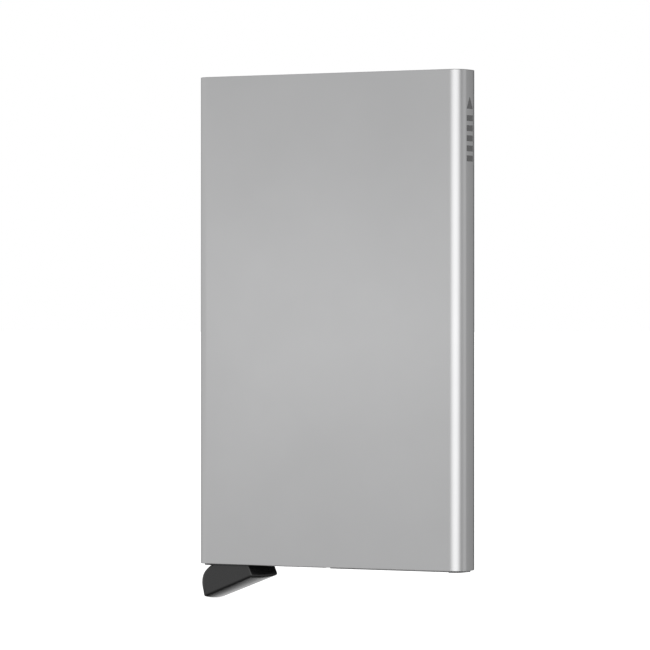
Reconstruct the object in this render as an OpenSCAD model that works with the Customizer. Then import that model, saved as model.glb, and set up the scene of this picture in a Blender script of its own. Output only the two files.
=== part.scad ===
// Slim metal card case.
// A flat aluminium sleeve is open at the top. A moulded block and a moulded frame close
// its base, and a lever in the frame turns on a cross pin at the corner. The lever's
// stepped arm lies along the base, under the cards, and lifts them out as a fan.
// X is the width, Y the thickness with the front at -Y, and Z the length, mouth up.

/* [Sleeve] */
// Overall width
sleeve_w = 63; // [62:0.5:66]
// Overall thickness
sleeve_t = 8; // [8:0.25:10]
// Length from the base rim to the card mouth
sleeve_l = 102; // [100:1:110]
// Wall thickness
wall = 0.75; // [0.6:0.05:0.8]
// Outside radius of the four long corners
corner_r = 2.7; // [2.2:0.1:3.2]

/* [Base] */
// Height of the long block inside the sleeve
floor_h = 2.8; // [2:0.2:2.8]
// How far the long block stands out below the rim
edge_proud = 0.2; // [0.1:0.05:0.25]
// How far the foot and the lip round the lever stand out below the rim
foot_proud = 0.3; // [0.25:0.05:0.4]
// Thickness of the frame's walls beside the lever
frame_wall = 0.45; // [0.4:0.05:0.6]
// Clear gap between the two halves of the base at its middle
middle_gap = 1.1; // [0.8:0.1:1.5]

/* [Lever] */
// How far the thumb fin reaches below the rim
lever_drop = 6.9; // [6.5:0.1:8]
// Radius of the fin's round nose
nose_r = 3.6; // [3.4:0.1:3.7]
// Height of the pivot above the rim
pivot_h = 4.6; // [4.6:0.1:5]
// Radius of the cross pin
pin_r = 1; // [0.8:0.05:1.1]
// Radial clearance of the lever on its pin
pin_clearance = 0.05; // [0.02:0.01:0.1]
// Number of steps in the arm, one for each card
steps = 5; // [4:1:6]
// How much shorter each step is than the one behind it
step_run = 7.6; // [6:0.2:8]
// How far the fin's back edge is set to the right of its front edge
fin_skew = 3; // [0:0.2:3]

/* [Cards] */
// Width of the card bay between the friction strips
bay_w = 54.2; // [54.1:0.1:54.6]
// Length of the friction strips
strip_l = 62; // [40:1:70]

/* [Hidden] */
$fn = 64;

cut = 20; // generous overlap of a cutting solid
inner_w = sleeve_w - 2 * wall;
inner_t = sleeve_t - 2 * wall;
inner_r = corner_r - wall;
left_x = -sleeve_w / 2;

// Pivot, hub and the two ears that carry the pin.
pivot_x = left_x + 5;
pivot = [pivot_x, pivot_h];
hub_r = 2.4;
ear_r = 3.8;
ear_t = 0.9;
ear_gap = inner_t - 2 * ear_t;
hub_side_gap = 0.2;
hub_t = ear_gap - 2 * hub_side_gap;
post_x = pivot_x - hub_r - 0.3;
swing_gap = 0.2;
swing_r = ear_r + swing_gap;

// Fin below the rim, seen from the front.
lever_side_gap = 0.15;
lever_t = inner_t - 2 * frame_wall - 2 * lever_side_gap;
fin_top = pivot_h - swing_r - 0.05; // just clear of a tangent to the swing cylinder
nose = [left_x + 3.9, -nose_r];
tip = [left_x + 1.3, -lever_drop];
end_low = [left_x + 13.1, -2.2];
end_high = [left_x + 12.3, -0.2];
tip_reach = tip - nose;
heel_angle = atan2(tip_reach.y, tip_reach.x) - acos(nose_r / norm(tip_reach));
heel_end = heel_angle + 360;
nose_step = 5;
skew_angle = atan2(fin_skew, lever_t);
fin_far = end_low.x + fin_skew + 1;

// Arm inside the sleeve.
arm_top = 11.5;
arm_root_x = pivot_x + swing_r + 0.4;
arm_root_z = 3.2;
arm_end_x = sleeve_w / 2 - 5;
arm_tip_h = 4;
layer_t = lever_t / steps;

// Webs that join the fin, the hub and the arm.
overlap = 0.4; // how far joined solids run into each other
web_z = fin_top - overlap;
web_run = 3.2;
hub_web_z = fin_top - overlap / 2;
hub_web_top = arm_top - 3;

// Long block, its stop rib and the post under the right rail.
block_x = middle_gap / 2;
rib_w = 1.5;
stop_gap = 0.2;
foot_w = 2.4;
foot_inset = 0.1;

// Hinge frame: its walls end at the middle and its lip ends beside the fin.
wall_proud = 0.1;
lip_x = left_x + 12.3;
foot_gap = 0.4;
slot_t = inner_t - 2 * frame_wall;

// Side rails and friction strips.
rail_z = arm_top + 0.6;
rail_end_z = sleeve_l - 1.5;
rail_x = bay_w / 2 + 0.5;
groove_t = inner_t - 1.7;
groove_x = inner_w / 2 - 1;
strip_z = rail_end_z - 4 - strip_l;

// Height of the arm's lower edge above the rim at x.
function arm_bottom(x) =
    arm_root_z
    + (arm_top - arm_tip_h - arm_root_z) * (x - arm_root_x) / (arm_end_x - arm_root_x);

// Raises what is built around the base rim so that the fin's tip is at Z = 0.
module on_rim() {
    translate([0, 0, lever_drop]) children();
}

// Rectangle with round corners, from true circles.
module rounded_rect(w, t, r) {
    square([w - 2 * r, t], center = true);
    square([w, t - 2 * r], center = true);
    for (sx = [-1, 1], sy = [-1, 1])
        translate([sx * (w / 2 - r), sy * (t / 2 - r)]) circle(r);
}

// Solid plug that fills the sleeve's inside from z0 to z1.
module inside(z0, z1) {
    translate([0, 0, z0])
        linear_extrude(z1 - z0) rounded_rect(inner_w, inner_t, inner_r);
}

// Part of the sleeve's inside between two X planes.
module inside_between(x0, x1, z0, z1) {
    intersection() {
        inside(z0, z1);
        translate([x0, -cut, z0 - cut]) cube([x1 - x0, 2 * cut, z1 - z0 + 2 * cut]);
    }
}

// Flat plate of thickness t, centred on y, from a front-view outline.
module plate(t, y = 0) {
    translate([0, y, 0]) rotate([90, 0, 0]) linear_extrude(t, center = true) children();
}

// Cylinder on the pivot axis.
module on_pivot(r, t, y = 0) {
    plate(t, y) translate(pivot) circle(r);
}

module sleeve() {
    color("silver")
        on_rim() linear_extrude(sleeve_l)
            difference() {
                rounded_rect(sleeve_w, sleeve_t, corner_r);
                rounded_rect(inner_w, inner_t, inner_r);
            }
}

// Right half of the base, with a stop rib for the arm, a post for the rail and a foot.
module base_block() {
    color("dimgray") on_rim() {
        inside_between(block_x, 2 * cut, -edge_proud, floor_h);
        inside_between(block_x, block_x + rib_w, floor_h, arm_bottom(block_x) - stop_gap);
        inside_between(rail_x, 2 * cut, floor_h, rail_z);
        foot(inner_w / 2 - foot_w, 2 * cut);
    }
}

// Foot that stands out below the rim, a little smaller than the sleeve's inside.
module foot(x0, x1) {
    intersection() {
        translate([0, 0, -foot_proud])
            linear_extrude(foot_proud)
                rounded_rect(inner_w - foot_inset, inner_t - foot_inset, inner_r);
        translate([x0, -cut, -cut]) cube([x1 - x0, 2 * cut, 2 * cut]);
    }
}

// Left half of the base: a post under the rail, the two ears of the hinge, and a wall on
// each side of the lever, with a lip that stands out round the fin.
module hinge_frame() {
    color([0.1, 0.1, 0.1]) on_rim() difference() {
        union() {
            inside_between(-2 * cut, post_x, 0, rail_z);
            foot(-2 * cut, post_x - foot_gap);
            difference() {
                union() {
                    inside_between(post_x, -block_x, -wall_proud, floor_h);
                    foot(post_x - foot_gap, lip_x);
                }
                translate([post_x - 1, -slot_t / 2, -cut]) cube([2 * cut, slot_t, 2 * cut]);
            }
            intersection() {
                inside(0, pivot_h + ear_r);
                for (side = [-1, 1])
                    plate(ear_t, side * (inner_t - ear_t) / 2) {
                        translate(pivot) circle(ear_r);
                        translate([-inner_w / 2, pivot_h - ear_r])
                            square([inner_w / 2 + pivot_x, 2 * ear_r]);
                    }
            }
        }
        on_pivot(pin_r, 2 * cut);
    }
}

module pivot_pin() {
    color("lightgray") on_rim() on_pivot(pin_r, inner_t - 0.1);
}

// Thumb fin: a round nose at the sleeve's corner and a slanted keel under it. The keel
// and the end face are set askew, so that the fin runs out further at its back.
module fin() {
    intersection() {
        plate(lever_t) {
            polygon([
                for (a = [90 : nose_step : heel_end]) nose + nose_r * [cos(a), sin(a)],
                tip, [fin_far, tip.y - 1], [fin_far, fin_top], [nose.x, fin_top]
            ]);
        }
        translate([0, -lever_t / 2, 0])
            rotate([0, 0, -skew_angle])
                plate(4 * lever_t) keel_outline(cos(skew_angle));
    }
}

// Region above the keel and left of the end face, squeezed in x by the factor k.
module keel_outline(k) {
    end_run = end_high - end_low;
    above = end_high + end_run * (fin_top - end_high.y) / end_run.y;
    polygon([
        [(tip.x - cut) * k, cut - lever_drop], [tip.x * k, tip.y],
        [end_low.x * k, end_low.y], [end_high.x * k, end_high.y],
        [above.x * k, above.y], [above.x * k, cut], [(tip.x - cut) * k, cut]
    ]);
}

// Arm under the cards, cut back in steps so that it is longest at the back.
module arm() {
    difference() {
        plate(lever_t) polygon([
            [arm_root_x, arm_bottom(arm_root_x)], [arm_end_x, arm_bottom(arm_end_x)],
            [arm_end_x, arm_top], [arm_root_x, arm_top]
        ]);
        for (i = [1 : steps - 1])
            translate([arm_end_x - i * step_run, lever_t / 2 - i * layer_t - cut, 0])
                cube([2 * cut * steps, cut, cut]);
    }
}

// Lever: a thin hub and web between the ears, and the full-thickness fin and arm.
module lever() {
    color([0.1, 0.1, 0.1]) on_rim() difference() {
        union() {
            difference() {
                union() {
                    fin();
                    arm();
                    plate(lever_t) polygon([
                        [nose.x + 2, web_z], [end_high.x - 2 * overlap, web_z],
                        [arm_root_x + web_run, arm_root_z + 1.5 * overlap],
                        [arm_root_x + overlap, arm_root_z + 2 * overlap],
                        [arm_root_x - 2 * overlap, arm_root_z]
                    ]);
                }
                on_pivot(swing_r, 2 * cut);
            }
            on_pivot(hub_r, hub_t);
            plate(hub_t) polygon([
                pivot, [nose.x + overlap, hub_web_z], [arm_root_x + 1.5 * overlap, hub_web_z],
                [arm_root_x + 1.5 * overlap, hub_web_top],
                [pivot_x + pin_r, pivot_h + hub_r - overlap]
            ]);
        }
        on_pivot(pin_r + pin_clearance, 2 * cut);
    }
}

// Right side rail: a channel that lines the sleeve's narrow side and holds the strip.
module rail_shape() {
    on_rim() difference() {
        inside_between(rail_x, 2 * cut, rail_z, rail_end_z);
        translate([rail_x - 1, -groove_t / 2, strip_z])
            cube([groove_x - rail_x + 1, groove_t, strip_l]);
    }
}

// Right friction strip: it stands out of the rail and grips the cards' edges.
module strip_shape() {
    on_rim() translate([bay_w / 2, -groove_t / 2, strip_z])
        cube([groove_x - bay_w / 2, groove_t, strip_l]);
}

module right_rail() {
    color("dimgray") rail_shape();
}

module left_rail() {
    color("dimgray") mirror([1, 0, 0]) rail_shape();
}

module right_friction_strip() {
    color([0.16, 0.16, 0.17]) strip_shape();
}

module left_friction_strip() {
    color([0.16, 0.16, 0.17]) mirror([1, 0, 0]) strip_shape();
}

sleeve();
base_block();
hinge_frame();
pivot_pin();
lever();
left_rail();
right_rail();
left_friction_strip();
right_friction_strip();
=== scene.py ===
"""Slim metal card case: the looks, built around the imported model."""
import math
import random

import bmesh
import bpy
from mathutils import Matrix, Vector, noise


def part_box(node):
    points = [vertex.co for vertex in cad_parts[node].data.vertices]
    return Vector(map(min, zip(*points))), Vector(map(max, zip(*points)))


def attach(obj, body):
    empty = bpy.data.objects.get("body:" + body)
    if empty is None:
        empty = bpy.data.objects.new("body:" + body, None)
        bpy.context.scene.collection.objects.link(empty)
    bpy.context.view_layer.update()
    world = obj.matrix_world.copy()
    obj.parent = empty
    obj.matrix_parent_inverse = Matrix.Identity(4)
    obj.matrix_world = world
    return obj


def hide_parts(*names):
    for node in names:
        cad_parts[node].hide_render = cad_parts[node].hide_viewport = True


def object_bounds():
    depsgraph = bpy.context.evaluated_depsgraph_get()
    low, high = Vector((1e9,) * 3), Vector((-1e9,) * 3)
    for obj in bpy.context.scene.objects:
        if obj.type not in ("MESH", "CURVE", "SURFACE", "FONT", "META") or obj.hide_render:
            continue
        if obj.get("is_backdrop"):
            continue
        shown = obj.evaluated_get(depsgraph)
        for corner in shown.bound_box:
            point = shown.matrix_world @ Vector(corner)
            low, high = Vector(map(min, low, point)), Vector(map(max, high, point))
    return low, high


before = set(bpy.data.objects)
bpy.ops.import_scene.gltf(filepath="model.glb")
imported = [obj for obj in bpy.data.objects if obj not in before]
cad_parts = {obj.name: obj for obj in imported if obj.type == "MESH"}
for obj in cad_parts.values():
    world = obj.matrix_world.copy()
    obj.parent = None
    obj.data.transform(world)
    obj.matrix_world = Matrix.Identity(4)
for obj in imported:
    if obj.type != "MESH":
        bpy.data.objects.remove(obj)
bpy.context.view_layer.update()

MM = 0.001

# ---------------------------------------------------------------- sizes from the frame
SLEEVE_LO, SLEEVE_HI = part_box("sleeve")
BLOCK_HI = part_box("base_block")[1]
LEVER_LO, LEVER_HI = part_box("lever")
RIM_Z = SLEEVE_LO.z
MOUTH_Z = SLEEVE_HI.z
HALF_W = SLEEVE_HI.x
HALF_T = SLEEVE_HI.y
MIDDLE = Vector((0, 0, (RIM_Z + MOUTH_Z) / 2))
WALL = HALF_W - BLOCK_HI.x
CORNER_R = 2.7 * MM
RIM_EDGE_R = 0.16 * MM

# Thumb fin: its front outline in x and z is a brow, a nose, a tip, a keel and an end face.
LEFT_X = SLEEVE_LO.x
NOSE_R, BROW_R = 3.3 * MM, 9 * MM
NOSE = Vector((LEFT_X + NOSE_R, RIM_Z - 4.0 * MM))
BROW_END = math.radians(135)
TIP = Vector((LEFT_X + 1.0 * MM, LEVER_LO.z - 0.1 * MM))
END_LOW = Vector((LEFT_X + 12.8 * MM, RIM_Z - 2.35 * MM))
END_HIGH = Vector((LEFT_X + 11.9 * MM, RIM_Z - 0.2 * MM))
FIN_TOP = RIM_Z + 0.5 * MM
BROW_DIP = 0.1 * MM  # how far the brow starts below the fin's top
BROW_GAP = 0.6 * MM  # how far it starts to the left of the top's corner
TIP_R, END_R = 0.4 * MM, 0.35 * MM
# Shift of the back outline against the front one, at the tip and at the end face.
FIN_SKEW = Vector((2.2, 0)) * MM
END_SKEW = Vector((3.3, 0.12)) * MM
# Crown across the keel, and the shares of it left where the keel ends and the end face starts.
FIN_CROWN = 0.42 * MM
KEEL_END_CROWN, END_CROWN = 0.5, 0.2
# Radii of the edges along the front and back outlines.
NOSE_EDGE, KEEL_EDGE, END_EDGE = 1.5 * MM, 0.42 * MM, 0.12 * MM
BROW_STEPS, NOSE_STEPS, HEEL_STEPS, TIP_STEPS = 10, 18, 4, 7
KEEL_STEPS, CORNER_STEPS, END_STEPS = 14, 4, 5
EDGE_STEPS, DEPTH_STEPS = 5, 10
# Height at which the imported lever's core is cut off, just inside the fin.
CORE_Z = RIM_Z + 0.22 * MM

# Friction strips: length of the fibres, their number on each strip, and their radius.
FIBRE_H, FIBRES, FIBRE_R = 0.35 * MM, 2600, 0.045 * MM

# Etched mark on the right side.
MARK_W, MARK_DEPTH = 2.6 * MM, 0.012 * MM
MARK_BELOW_MOUTH = 5.5 * MM
ARROW_H, ARROW_GAP = 2.5 * MM, 1.3 * MM
BAR_H, BAR_PITCH, BARS = 1.2 * MM, 2.05 * MM, 5

# Patches of the studio dome: azimuth, elevation, half width, strength. The last is even.
DOME = [
    (33, 0, 56, 1.68),
    (-60, 0, 74, 0.64),
    (120, 0, 48, 0.62),
    (-135, 25, 60, 0.22),
    (205, -28, 29, 1.85),
    (0, 90, 55, 0.5),
    (0, 0, 180, 0.1),
]
# Round soft light in front, to the left.
KEY_AZIMUTH, KEY_DISTANCE, KEY_SIZE, KEY_POWER = -30, 0.45, 0.12, 0.0145

FLOOR_GAP, FLOOR_HALF = 0.05 * MM, 30.0

CAMERA_AZIMUTH, CAMERA_DISTANCE, CAMERA_LENS = 30.14, 0.8986, 240.4
CAMERA_ASIDE, CAMERA_UP = -2.19 * MM, -0.965 * MM


# ---------------------------------------------------------------- mesh helpers
def new_object(name, bm, material, body, stands_for=()):
    """Turns a bmesh into a piece that rides on a body."""
    bmesh.ops.recalc_face_normals(bm, faces=bm.faces)
    mesh = bpy.data.meshes.new(name)
    bm.to_mesh(mesh)
    bm.free()
    obj = bpy.data.objects.new(name, mesh)
    bpy.context.scene.collection.objects.link(obj)
    mesh.materials.append(material)
    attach(obj, body)
    if stands_for:
        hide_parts(*stands_for)
    return obj


def shade_by_angle(obj, degrees):
    """Smooth shading that keeps edges sharper than the angle."""
    mesh = obj.data
    mesh.polygons.foreach_set("use_smooth", [True] * len(mesh.polygons))
    mesh.set_sharp_from_angle(angle=math.radians(degrees))


def rounded_rect(half_w, half_t, r, steps):
    """Points of a rectangle with round corners, anticlockwise from above."""
    points = []
    for sx, sy, start in ((1, 1, 0), (-1, 1, 90), (-1, -1, 180), (1, -1, 270)):
        for i in range(steps + 1):
            a = math.radians(start + 90 * i / steps)
            x = sx * (half_w - r) + r * math.cos(a)
            points.append((x, sy * (half_t - r) + r * math.sin(a)))
    return points


def loft(bm, rings, closed):
    """Quads between successive rings of points; the last ring joins the first if closed."""
    rows = [[bm.verts.new(p) for p in ring] for ring in rings]
    pairs = list(zip(rows, rows[1:]))
    if closed:
        pairs.append((rows[-1], rows[0]))
    for a, b in pairs:
        n = len(a)
        for i in range(n):
            j = (i + 1) % n
            bm.faces.new((a[i], a[j], b[j], b[i]))
    return rows


# ---------------------------------------------------------------- materials
class Nodes:
    """Short names for the few node types that the materials use."""

    def __init__(self, name):
        self.material = bpy.data.materials.new(name)
        self.material.use_nodes = True
        self.tree = self.material.node_tree
        self.shader = self.tree.nodes["Principled BSDF"]
        self.object_coords = self.add("ShaderNodeTexCoord").outputs["Object"]

    def add(self, kind, **inputs):
        node = self.tree.nodes.new(kind)
        for name, value in inputs.items():
            node.inputs[name.replace("_", " ")].default_value = value
        return node

    def link(self, a, b):
        self.tree.links.new(a, b)

    def mapping(self, scale):
        node = self.add("ShaderNodeMapping", Scale=scale)
        self.link(self.object_coords, node.inputs["Vector"])
        return node.outputs["Vector"]

    def noise(self, scale, detail=2.0, roughness=0.5, stretch=None):
        node = self.add("ShaderNodeTexNoise", Scale=scale, Detail=detail, Roughness=roughness)
        self.link(self.mapping(stretch) if stretch else self.object_coords, node.inputs["Vector"])
        return node.outputs["Fac"]

    def ramp(self, value, stops):
        """Colour ramp; stops are (position, grey or colour)."""
        node = self.add("ShaderNodeValToRGB")
        self.link(value, node.inputs["Fac"])
        elements = node.color_ramp.elements
        while len(elements) < len(stops):
            elements.new(0.5)
        for element, (position, colour) in zip(elements, stops):
            element.position = position
            rgb = colour if isinstance(colour, tuple) else (colour, colour, colour)
            element.color = (*rgb, 1)
        return node.outputs["Color"]

    def bump(self, *layers):
        """Chains bumps of (height, strength, distance in metres)."""
        normal = None
        for height, strength, distance in layers:
            node = self.add("ShaderNodeBump", Strength=strength, Distance=distance)
            self.link(height, node.inputs["Height"])
            if normal is not None:
                self.link(normal, node.inputs["Normal"])
            normal = node.outputs["Normal"]
        self.link(normal, self.shader.inputs["Normal"])

    def set(self, **inputs):
        for name, value in inputs.items():
            self.shader.inputs[name.replace("_", " ")].default_value = value


def anodised_aluminium():
    """Bead-blasted, clear-anodised aluminium: a fine even grain with a soft sheen."""
    m = Nodes("anodised_aluminium")
    m.set(Metallic=1.0)
    clouds = m.noise(45, 3, 0.55)
    m.link(m.ramp(clouds, [(0.3, (0.735, 0.737, 0.742)), (0.7, (0.765, 0.767, 0.772))]),
           m.shader.inputs["Base Color"])
    grain = m.noise(9000, 2, 0.6)
    m.link(m.ramp(grain, [(0.25, 0.33), (0.75, 0.39)]), m.shader.inputs["Roughness"])
    m.bump((grain, 0.12, 0.00001), (m.noise(2600, 2, 0.5), 0.08, 0.00002))
    return m.material


def moulded(name, colour, roughness, grain_scale, grain_strength, gloss=0.5, sheen=0.0):
    """Moulded plastic with a spark-eroded grain."""
    m = Nodes(name)
    m.set(Specular_IOR_Level=gloss, Sheen_Weight=sheen, Sheen_Roughness=0.3)
    dark = tuple(c * 0.88 for c in colour)
    mottle = m.ramp(m.noise(220, 3, 0.6), [(0.3, dark), (0.7, colour)])
    m.link(mottle, m.shader.inputs["Base Color"])
    grain = m.noise(grain_scale, 3, 0.6)
    m.link(m.ramp(grain, [(0.25, roughness - 0.05), (0.75, roughness + 0.05)]),
           m.shader.inputs["Roughness"])
    m.bump((grain, grain_strength, 0.00002))
    return m.material


def steel():
    """Ground steel with marks along the pin."""
    m = Nodes("pin_steel")
    m.set(Metallic=1.0)
    marks = m.noise(3000, 2, 0.5, stretch=(1, 0.05, 1))
    m.link(m.ramp(marks, [(0.3, (0.5, 0.5, 0.5)), (0.7, (0.62, 0.62, 0.62))]),
           m.shader.inputs["Base Color"])
    m.link(m.ramp(marks, [(0.3, 0.24), (0.7, 0.34)]), m.shader.inputs["Roughness"])
    m.bump((marks, 0.1, 0.00001))
    return m.material


def pile():
    """Short dark pile."""
    m = Nodes("pile")
    tufts = m.ramp(m.noise(1500, 3, 0.7),
                   [(0.3, (0.02, 0.02, 0.022)), (0.7, (0.055, 0.055, 0.06))])
    m.link(tufts, m.shader.inputs["Base Color"])
    m.set(Roughness=0.95, Sheen_Weight=0.4, Sheen_Roughness=0.5)
    m.bump((m.noise(4000, 2, 0.6), 0.4, 0.00005))
    return m.material


def etched():
    """Laser-etched mark: darker and rougher than the metal round it."""
    m = Nodes("etched_mark")
    m.set(Metallic=0.6)
    m.link(m.ramp(m.noise(5000, 2, 0.6), [(0.3, (0.25, 0.25, 0.253)), (0.7, (0.31, 0.31, 0.313))]),
           m.shader.inputs["Base Color"])
    m.link(m.ramp(m.noise(7000, 2, 0.6), [(0.3, 0.5), (0.7, 0.62)]), m.shader.inputs["Roughness"])
    return m.material


ALUMINIUM = anodised_aluminium()
BLACK = moulded("lever_black", (0.012, 0.012, 0.0125), 0.30, 5200, 0.05, gloss=0.9, sheen=0.15)
FRAME_BLACK = moulded("moulded_black", (0.03, 0.03, 0.031), 0.42, 5200, 0.1)
GREY = moulded("moulded_grey", (0.12, 0.12, 0.125), 0.5, 4200, 0.12)
STEEL = steel()
PILE = pile()
ETCHED = etched()


# ---------------------------------------------------------------- sleeve
def sleeve():
    """Extruded tube with small rounded edges at both rims."""
    edge_steps, corner_steps = 4, 20

    def ring(inset, z):
        return [(x, y, z) for x, y in
                rounded_rect(HALF_W - inset, HALF_T - inset, CORNER_R - inset, corner_steps)]

    rings = []
    for rim_z, inward, outer_first in ((MOUTH_Z, -1, True), (RIM_Z, 1, False)):
        turn = []
        for i in range(edge_steps + 1):
            a = math.radians(90 * i / edge_steps)
            turn.append((RIM_EDGE_R * (1 - math.cos(a)), RIM_EDGE_R * (1 - math.sin(a))))
        outer = [ring(inset, rim_z + inward * rise) for inset, rise in turn]
        inner = [ring(WALL - inset, rim_z + inward * rise) for inset, rise in reversed(turn)]
        both = outer + inner
        rings += both if outer_first else both[::-1]
    bm = bmesh.new()
    loft(bm, rings, closed=True)
    obj = new_object("sleeve_shell", bm, ALUMINIUM, "case", ["sleeve"])
    shade_by_angle(obj, 35)


# ---------------------------------------------------------------- lever
def fillet(a, corner, b, r, steps):
    """Points of the arc of radius r that rounds the corner between a and b."""
    u, v = (a - corner).normalized(), (b - corner).normalized()
    half = math.acos(max(-1.0, min(1.0, u.dot(v)))) / 2
    centre = corner + (u + v).normalized() * (r / math.sin(half))
    reach = r / math.tan(half)
    first, last = corner + u * reach - centre, corner + v * reach - centre
    return [centre + first.lerp(last, i / steps).normalized() * r for i in range(steps + 1)]


def smoothstep(t):
    """Smooth rise from 0 to 1."""
    t = min(1.0, max(0.0, t))
    return t * t * (3 - 2 * t)


def arc(centre, r, start, end, steps):
    """Points of an arc from one angle to another."""
    angles = [start + (end - start) * i / steps for i in range(steps + 1)]
    return [centre + r * Vector((math.cos(a), math.sin(a))) for a in angles]


def fin_outline():
    """The fin's front outline in x and z, from the top of its nose.

    Each entry is a point, its shift at the fin's back, its share of the crown, and the
    radius of its rounded edge.
    """
    reach = TIP - NOSE
    heel = math.atan2(reach.y, reach.x) - math.acos(NOSE_R / reach.length) + 2 * math.pi
    brow = NOSE + (NOSE_R - BROW_R) * Vector((math.cos(BROW_END), math.sin(BROW_END)))
    start = math.pi - math.asin((FIN_TOP - BROW_DIP - brow.y) / BROW_R)
    nose = arc(brow, BROW_R, start, BROW_END, BROW_STEPS)
    nose += arc(NOSE, NOSE_R, BROW_END, heel, NOSE_STEPS)[1:]
    bend = fillet(nose[-1], TIP, END_LOW, TIP_R, TIP_STEPS)
    nose += [nose[-1].lerp(bend[0], i / HEEL_STEPS) for i in range(1, HEEL_STEPS)] + bend
    widest = min(range(len(nose)), key=lambda i: nose[i].x)
    run = [0.0]
    for a, b in zip(nose[widest:], nose[widest + 1:]):
        run.append(run[-1] + (b - a).length)
    points = []
    for i, p in enumerate(nose):
        t = run[i - widest] / run[-1] if i > widest else 0.0
        ends = smoothstep(t) if i > widest else 1 - smoothstep(i / widest)
        edge = NOSE_EDGE + (KEEL_EDGE - NOSE_EDGE) * ends
        points.append((p, FIN_SKEW * smoothstep(t), smoothstep(t), edge))

    rise = END_HIGH - END_LOW
    top = END_HIGH + rise * ((FIN_TOP - END_HIGH.y) / rise.y)
    corner = fillet(TIP, END_LOW, top, END_R, CORNER_STEPS)
    for i in range(1, KEEL_STEPS + 1):
        t = i / KEEL_STEPS
        p, shift = bend[-1].lerp(corner[0], t), FIN_SKEW.lerp(END_SKEW, t)
        points.append((p, shift, 1 + (KEEL_END_CROWN - 1) * t * t, KEEL_EDGE))
    for i, p in enumerate(corner[1:], 1):
        t = i / CORNER_STEPS
        crown = KEEL_END_CROWN + (END_CROWN - KEEL_END_CROWN) * t
        points.append((p, END_SKEW, crown, KEEL_EDGE + (END_EDGE - KEEL_EDGE) * t))
    for i in range(1, END_STEPS + 1):
        t = i / END_STEPS
        shift = END_SKEW.lerp(Vector((END_SKEW.x, 0)), t)
        points.append((corner[-1].lerp(top, t), shift, END_CROWN * (1 - t), END_EDGE))
    points.append((Vector((nose[0].x + BROW_GAP, FIN_TOP)), Vector((0, 0)), 0, END_EDGE))
    return points


def fin_mesh():
    """Thumb fin: rounded nose, crowned and skewed keel, and small rounded edges."""
    outline = fin_outline()
    y0, y1 = LEVER_LO.y, LEVER_HI.y
    keel_dir = (END_LOW - TIP).normalized()
    keel_normal = Vector((keel_dir.y, -keel_dir.x))
    count = len(outline)

    def placed(i, y):
        """The outline's point i on the slice at y, with skew and crown."""
        p, shift, crown_share, _ = outline[i]
        s = (y - y0) / (y1 - y0)
        crown = FIN_CROWN * (1 - (2 * s - 1) ** 2)
        return p + shift * s + keel_normal * crown * crown_share

    def inward(i, y):
        """Unit vector into the outline at point i."""
        a, b = placed((i - 1) % count, y), placed((i + 1) % count, y)
        d = (b - a).normalized()
        return Vector((-d.y, d.x))

    def slices(r):
        """Depth and inset of each slice, front to back, for an edge of radius r."""
        turn = [math.radians(90 * k / EDGE_STEPS) for k in range(EDGE_STEPS + 1)]
        edge = [(r * (1 - math.cos(a)), r * (1 - math.sin(a))) for a in turn]
        front = [(y0 + depth, inset) for depth, inset in edge]
        middle = [(y0 + r + (y1 - y0 - 2 * r) * k / DEPTH_STEPS, 0) for k in range(1, DEPTH_STEPS)]
        back = [(y1 - depth, inset) for depth, inset in reversed(edge)]
        return front + middle + back

    columns = []
    for i in range(count):
        column = []
        for y, inset in slices(outline[i][3]):
            q = placed(i, y) + inward(i, y) * inset
            column.append((q.x, y, q.y))
        columns.append(column)
    rings = list(zip(*columns))
    bm = bmesh.new()
    rows = loft(bm, rings, closed=False)
    bm.faces.new(rows[0])
    bm.faces.new(rows[-1][::-1])
    bmesh.ops.recalc_face_normals(bm, faces=bm.faces)
    return bm


def lever_core():
    """The hub, the web and the stepped arm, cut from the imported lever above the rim."""
    bm = bmesh.new()
    bm.from_mesh(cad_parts["lever"].data)
    bmesh.ops.remove_doubles(bm, verts=bm.verts, dist=1e-6)
    bmesh.ops.dissolve_limit(bm, angle_limit=math.radians(1), verts=bm.verts, edges=bm.edges)
    geom = bm.verts[:] + bm.edges[:] + bm.faces[:]
    cut = bmesh.ops.bisect_plane(bm, geom=geom, plane_co=(0, 0, CORE_Z), plane_no=(0, 0, -1),
                                 clear_outer=True, dist=1e-7)
    edges = [e for e in cut["geom_cut"] if isinstance(e, bmesh.types.BMEdge)]
    bmesh.ops.contextual_create(bm, geom=edges)
    bmesh.ops.recalc_face_normals(bm, faces=bm.faces)
    return bm


def lever():
    """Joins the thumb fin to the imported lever's core."""
    core = lever_core()
    fin = fin_mesh()
    mesh = bpy.data.meshes.new("fin_tool")
    fin.to_mesh(mesh)
    fin.free()
    tool = bpy.data.objects.new("fin_tool", mesh)
    bpy.context.scene.collection.objects.link(tool)
    obj = new_object("lever_body", core, BLACK, "lever", ["lever"])
    union = obj.modifiers.new("union", "BOOLEAN")
    union.operation = "UNION"
    union.solver = "EXACT"
    union.object = tool
    depsgraph = bpy.context.evaluated_depsgraph_get()
    joined = bpy.data.meshes.new_from_object(obj.evaluated_get(depsgraph))
    obj.modifiers.clear()
    obj.data = joined
    obj.data.materials.clear()
    obj.data.materials.append(BLACK)
    bpy.data.objects.remove(tool)
    shade_by_angle(obj, 38)
    obj.modifiers.new("smooth", "WEIGHTED_NORMAL").keep_sharp = True


# ---------------------------------------------------------------- inner parts
def dress_cad_node(name, material, edge):
    """A CAD node keeps its shape and gets its material and small rounded edges."""
    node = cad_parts[name]
    node.data.materials.clear()
    node.data.materials.append(material)
    weld = node.modifiers.new("weld", "WELD")
    weld.merge_threshold = 1e-6
    if edge:
        bevel = node.modifiers.new("edges", "BEVEL")
        bevel.width = edge
        bevel.segments = 3
        bevel.limit_method = "ANGLE"
        bevel.angle_limit = math.radians(40)
    smooth = node.modifiers.new("smooth", "WEIGHTED_NORMAL")
    smooth.keep_sharp = True


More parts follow.
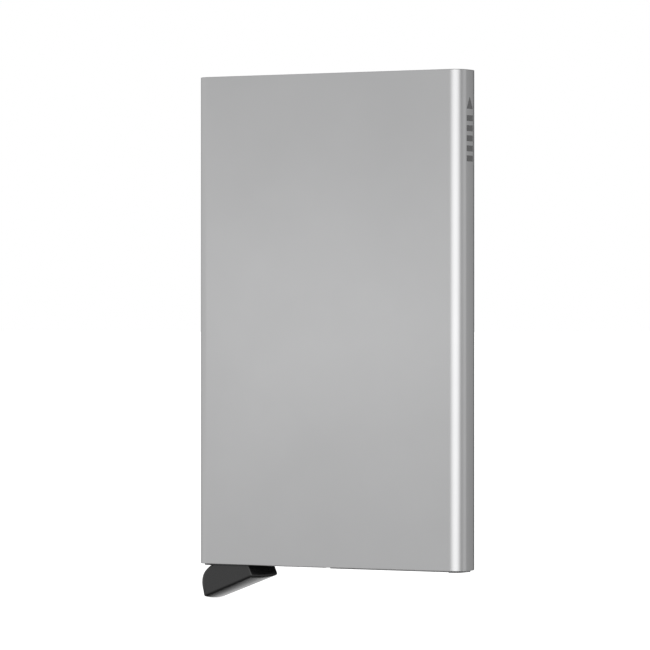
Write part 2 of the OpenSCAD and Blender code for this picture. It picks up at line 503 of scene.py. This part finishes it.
def friction_strip(side):
    """Pile strip: a crowned pad with short fibres that lean towards the base."""
    node = f"{side}_friction_strip"
    lo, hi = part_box(node)
    inward_x = 1 if side == "left" else -1
    root_x = lo.x if side == "left" else hi.x
    face_x = hi.x if side == "left" else lo.x
    rng = random.Random(f"{side} strip")
    bm = bmesh.new()
    rows_z, rows_y = 96, 9

    def surface(u, v):
        """Point of the pad's face, u along the strip and v across it, both 0 to 1."""
        edge = min(1.0, 6 * min(v, 1 - v)) * min(1.0, 60 * min(u, 1 - u))
        rise = (abs(face_x - root_x) - FIBRE_H) * (0.8 + 0.2 * edge)
        lump = 0.04 * MM * noise.noise(Vector((u * 90, v * 7, 3.1)))
        return Vector((root_x + inward_x * (rise + lump),
                       lo.y + (hi.y - lo.y) * v, lo.z + (hi.z - lo.z) * u))

    grid = [[bm.verts.new(surface(i / rows_z, j / rows_y)) for j in range(rows_y + 1)]
            for i in range(rows_z + 1)]
    back = [[bm.verts.new((root_x, v.co.y, v.co.z)) for v in row] for row in grid]
    for i in range(rows_z):
        for j in range(rows_y):
            bm.faces.new((grid[i][j], grid[i][j + 1], grid[i + 1][j + 1], grid[i + 1][j]))
            bm.faces.new((back[i][j], back[i + 1][j], back[i + 1][j + 1], back[i][j + 1]))
    for i in range(rows_z):
        for j in (0, rows_y):
            bm.faces.new((grid[i][j], grid[i + 1][j], back[i + 1][j], back[i][j]))
    for j in range(rows_y):
        for i in (0, rows_z):
            bm.faces.new((grid[i][j], grid[i][j + 1], back[i][j + 1], back[i][j]))
    pad = new_object(f"{side}_strip_pad", bm, PILE, "case", [node])
    shade_by_angle(pad, 50)

    bm = bmesh.new()
    for _ in range(FIBRES):
        u, v = rng.uniform(0.004, 0.996), rng.uniform(0.04, 0.96)
        foot = surface(u, v) - Vector((inward_x * 0.05 * MM, 0, 0))
        head = foot + Vector((inward_x * (FIBRE_H - 0.02 * MM) * rng.uniform(0.75, 1.0),
                              rng.uniform(-0.08, 0.08) * MM, rng.uniform(-0.22, -0.05) * MM))
        ring = [bm.verts.new(foot + FIBRE_R * Vector((0, math.cos(a), math.sin(a))))
                for a in (0.0, 2.094, 4.189)]
        top = bm.verts.new(head)
        bm.faces.new(ring)
        for i in range(3):
            bm.faces.new((ring[i], ring[(i + 1) % 3], top))
    new_object(f"{side}_strip_pile", bm, PILE, "case")


def side_mark():
    """Generic etched mark on the right side: an arrow towards the mouth and plain bars."""
    half, top = MARK_W / 2, MOUTH_Z - MARK_BELOW_MOUTH
    x0, x1 = HALF_W - 0.01 * MM, HALF_W + MARK_DEPTH
    bm = bmesh.new()

    def prism(points):
        a = [bm.verts.new((x0, y, z)) for y, z in points]
        b = [bm.verts.new((x1, y, z)) for y, z in points]
        bm.faces.new(a[::-1])
        bm.faces.new(b)
        n = len(points)
        for i in range(n):
            bm.faces.new((a[i], a[(i + 1) % n], b[(i + 1) % n], b[i]))

    prism([(0, top), (half, top - ARROW_H), (-half, top - ARROW_H)])
    for i in range(BARS):
        z = top - ARROW_H - ARROW_GAP - i * BAR_PITCH
        prism([(-half, z), (half, z), (half, z - BAR_H), (-half, z - BAR_H)])
    new_object("side_mark", bm, ETCHED, "case")


sleeve()
lever()
dress_cad_node("base_block", GREY, 0.12 * MM)
dress_cad_node("hinge_frame", FRAME_BLACK, 0.1 * MM)
dress_cad_node("left_rail", GREY, 0.15 * MM)
dress_cad_node("right_rail", GREY, 0.15 * MM)
dress_cad_node("pivot_pin", STEEL, 0)
friction_strip("left")
friction_strip("right")
side_mark()


# ---------------------------------------------------------------- stage
def floor():
    """Wide pale floor just under the lever's tip at rest."""
    mesh = bpy.data.meshes.new("floor")
    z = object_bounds()[0].z - FLOOR_GAP
    corners = [(x * FLOOR_HALF, y * FLOOR_HALF, z) for x, y in ((-1, -1), (1, -1), (1, 1), (-1, 1))]
    mesh.from_pydata(corners, [], [(0, 1, 2, 3)])
    obj = bpy.data.objects.new("floor", mesh)
    bpy.context.scene.collection.objects.link(obj)
    m = Nodes("floor")
    m.set(Base_Color=(0.8, 0.8, 0.8, 1), Roughness=0.9,
          Emission_Color=(1, 1, 1, 1), Emission_Strength=0.92)
    m.shader.inputs["Specular IOR Level"].default_value = 0.0
    mesh.materials.append(m.material)
    obj.visible_glossy = False
    obj.visible_diffuse = False
    obj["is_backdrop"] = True


def toward(azimuth):
    """Level unit vector from the part towards an azimuth in degrees."""
    a = math.radians(azimuth)
    return Vector((math.sin(a), -math.cos(a), 0))


def light_dome():
    """Soft studio dome, the sum of the DOME patches; the camera sees plain white instead."""
    world = bpy.data.worlds.new("studio")
    bpy.context.scene.world = world
    world.use_nodes = True
    tree = world.node_tree
    tree.nodes.clear()
    add, link = tree.nodes.new, tree.links.new
    direction = add("ShaderNodeTexCoord").outputs["Generated"]

    def lobe(azimuth, elevation, half_width, strength):
        """Smooth patch of light, strength at its middle and nothing at half_width."""
        if half_width >= 180:
            even = add("ShaderNodeValue")
            even.outputs[0].default_value = strength
            return even.outputs[0]
        e = math.radians(elevation)
        dot = add("ShaderNodeVectorMath")
        dot.operation = "DOT_PRODUCT"
        dot.inputs[1].default_value = toward(azimuth) * math.cos(e) + Vector((0, 0, math.sin(e)))
        link(direction, dot.inputs[0])
        span = add("ShaderNodeMapRange")
        span.interpolation_type = "SMOOTHSTEP"
        span.inputs["From Min"].default_value = math.cos(math.radians(half_width))
        span.inputs["From Max"].default_value = 1.0
        span.inputs["To Max"].default_value = strength
        link(dot.outputs["Value"], span.inputs["Value"])
        return span.outputs["Result"]

    total = None
    for patch in DOME:
        value = lobe(*patch)
        if total is None:
            total = value
        else:
            plus = add("ShaderNodeMath")
            plus.operation = "ADD"
            link(total, plus.inputs[0])
            link(value, plus.inputs[1])
            total = plus.outputs["Value"]
    dome = add("ShaderNodeBackground")
    link(total, dome.inputs["Strength"])
    white = add("ShaderNodeBackground")
    mix = add("ShaderNodeMixShader")
    link(add("ShaderNodeLightPath").outputs["Is Camera Ray"], mix.inputs["Fac"])
    link(dome.outputs["Background"], mix.inputs[1])
    white.inputs["Color"].default_value = (1, 1, 1, 1)
    link(white.outputs["Background"], mix.inputs[2])
    output = add("ShaderNodeOutputWorld")
    link(mix.outputs["Shader"], output.inputs["Surface"])


def key_light():
    """Round soft light that brightens the middle of the front face."""
    data = bpy.data.lights.new("key", "AREA")
    data.shape = "DISK"
    data.size = KEY_SIZE
    data.energy = KEY_POWER
    obj = bpy.data.objects.new("key", data)
    obj.location = MIDDLE + toward(KEY_AZIMUTH) * KEY_DISTANCE
    obj.rotation_mode = "QUATERNION"
    obj.rotation_quaternion = (-toward(KEY_AZIMUTH)).to_track_quat("-Z", "Y")
    obj.visible_camera = False
    bpy.context.scene.collection.objects.link(obj)


def camera():
    """Long lens, level with the sleeve's middle."""
    back, right = toward(CAMERA_AZIMUTH), toward(CAMERA_AZIMUTH + 90)
    data = bpy.data.cameras.new("camera")
    data.lens = CAMERA_LENS
    data.sensor_width = 36
    data.clip_start = 0.05
    data.clip_end = 200
    obj = bpy.data.objects.new("camera", data)
    offset = right * CAMERA_ASIDE + Vector((0, 0, CAMERA_UP))
    obj.location = MIDDLE + back * CAMERA_DISTANCE + offset
    obj.rotation_mode = "QUATERNION"
    obj.rotation_quaternion = (-back).to_track_quat("-Z", "Y")
    bpy.context.scene.collection.objects.link(obj)
    bpy.context.scene.camera = obj


floor()
light_dome()
key_light()
camera()
bpy.context.scene.view_settings.view_transform = "Standard"
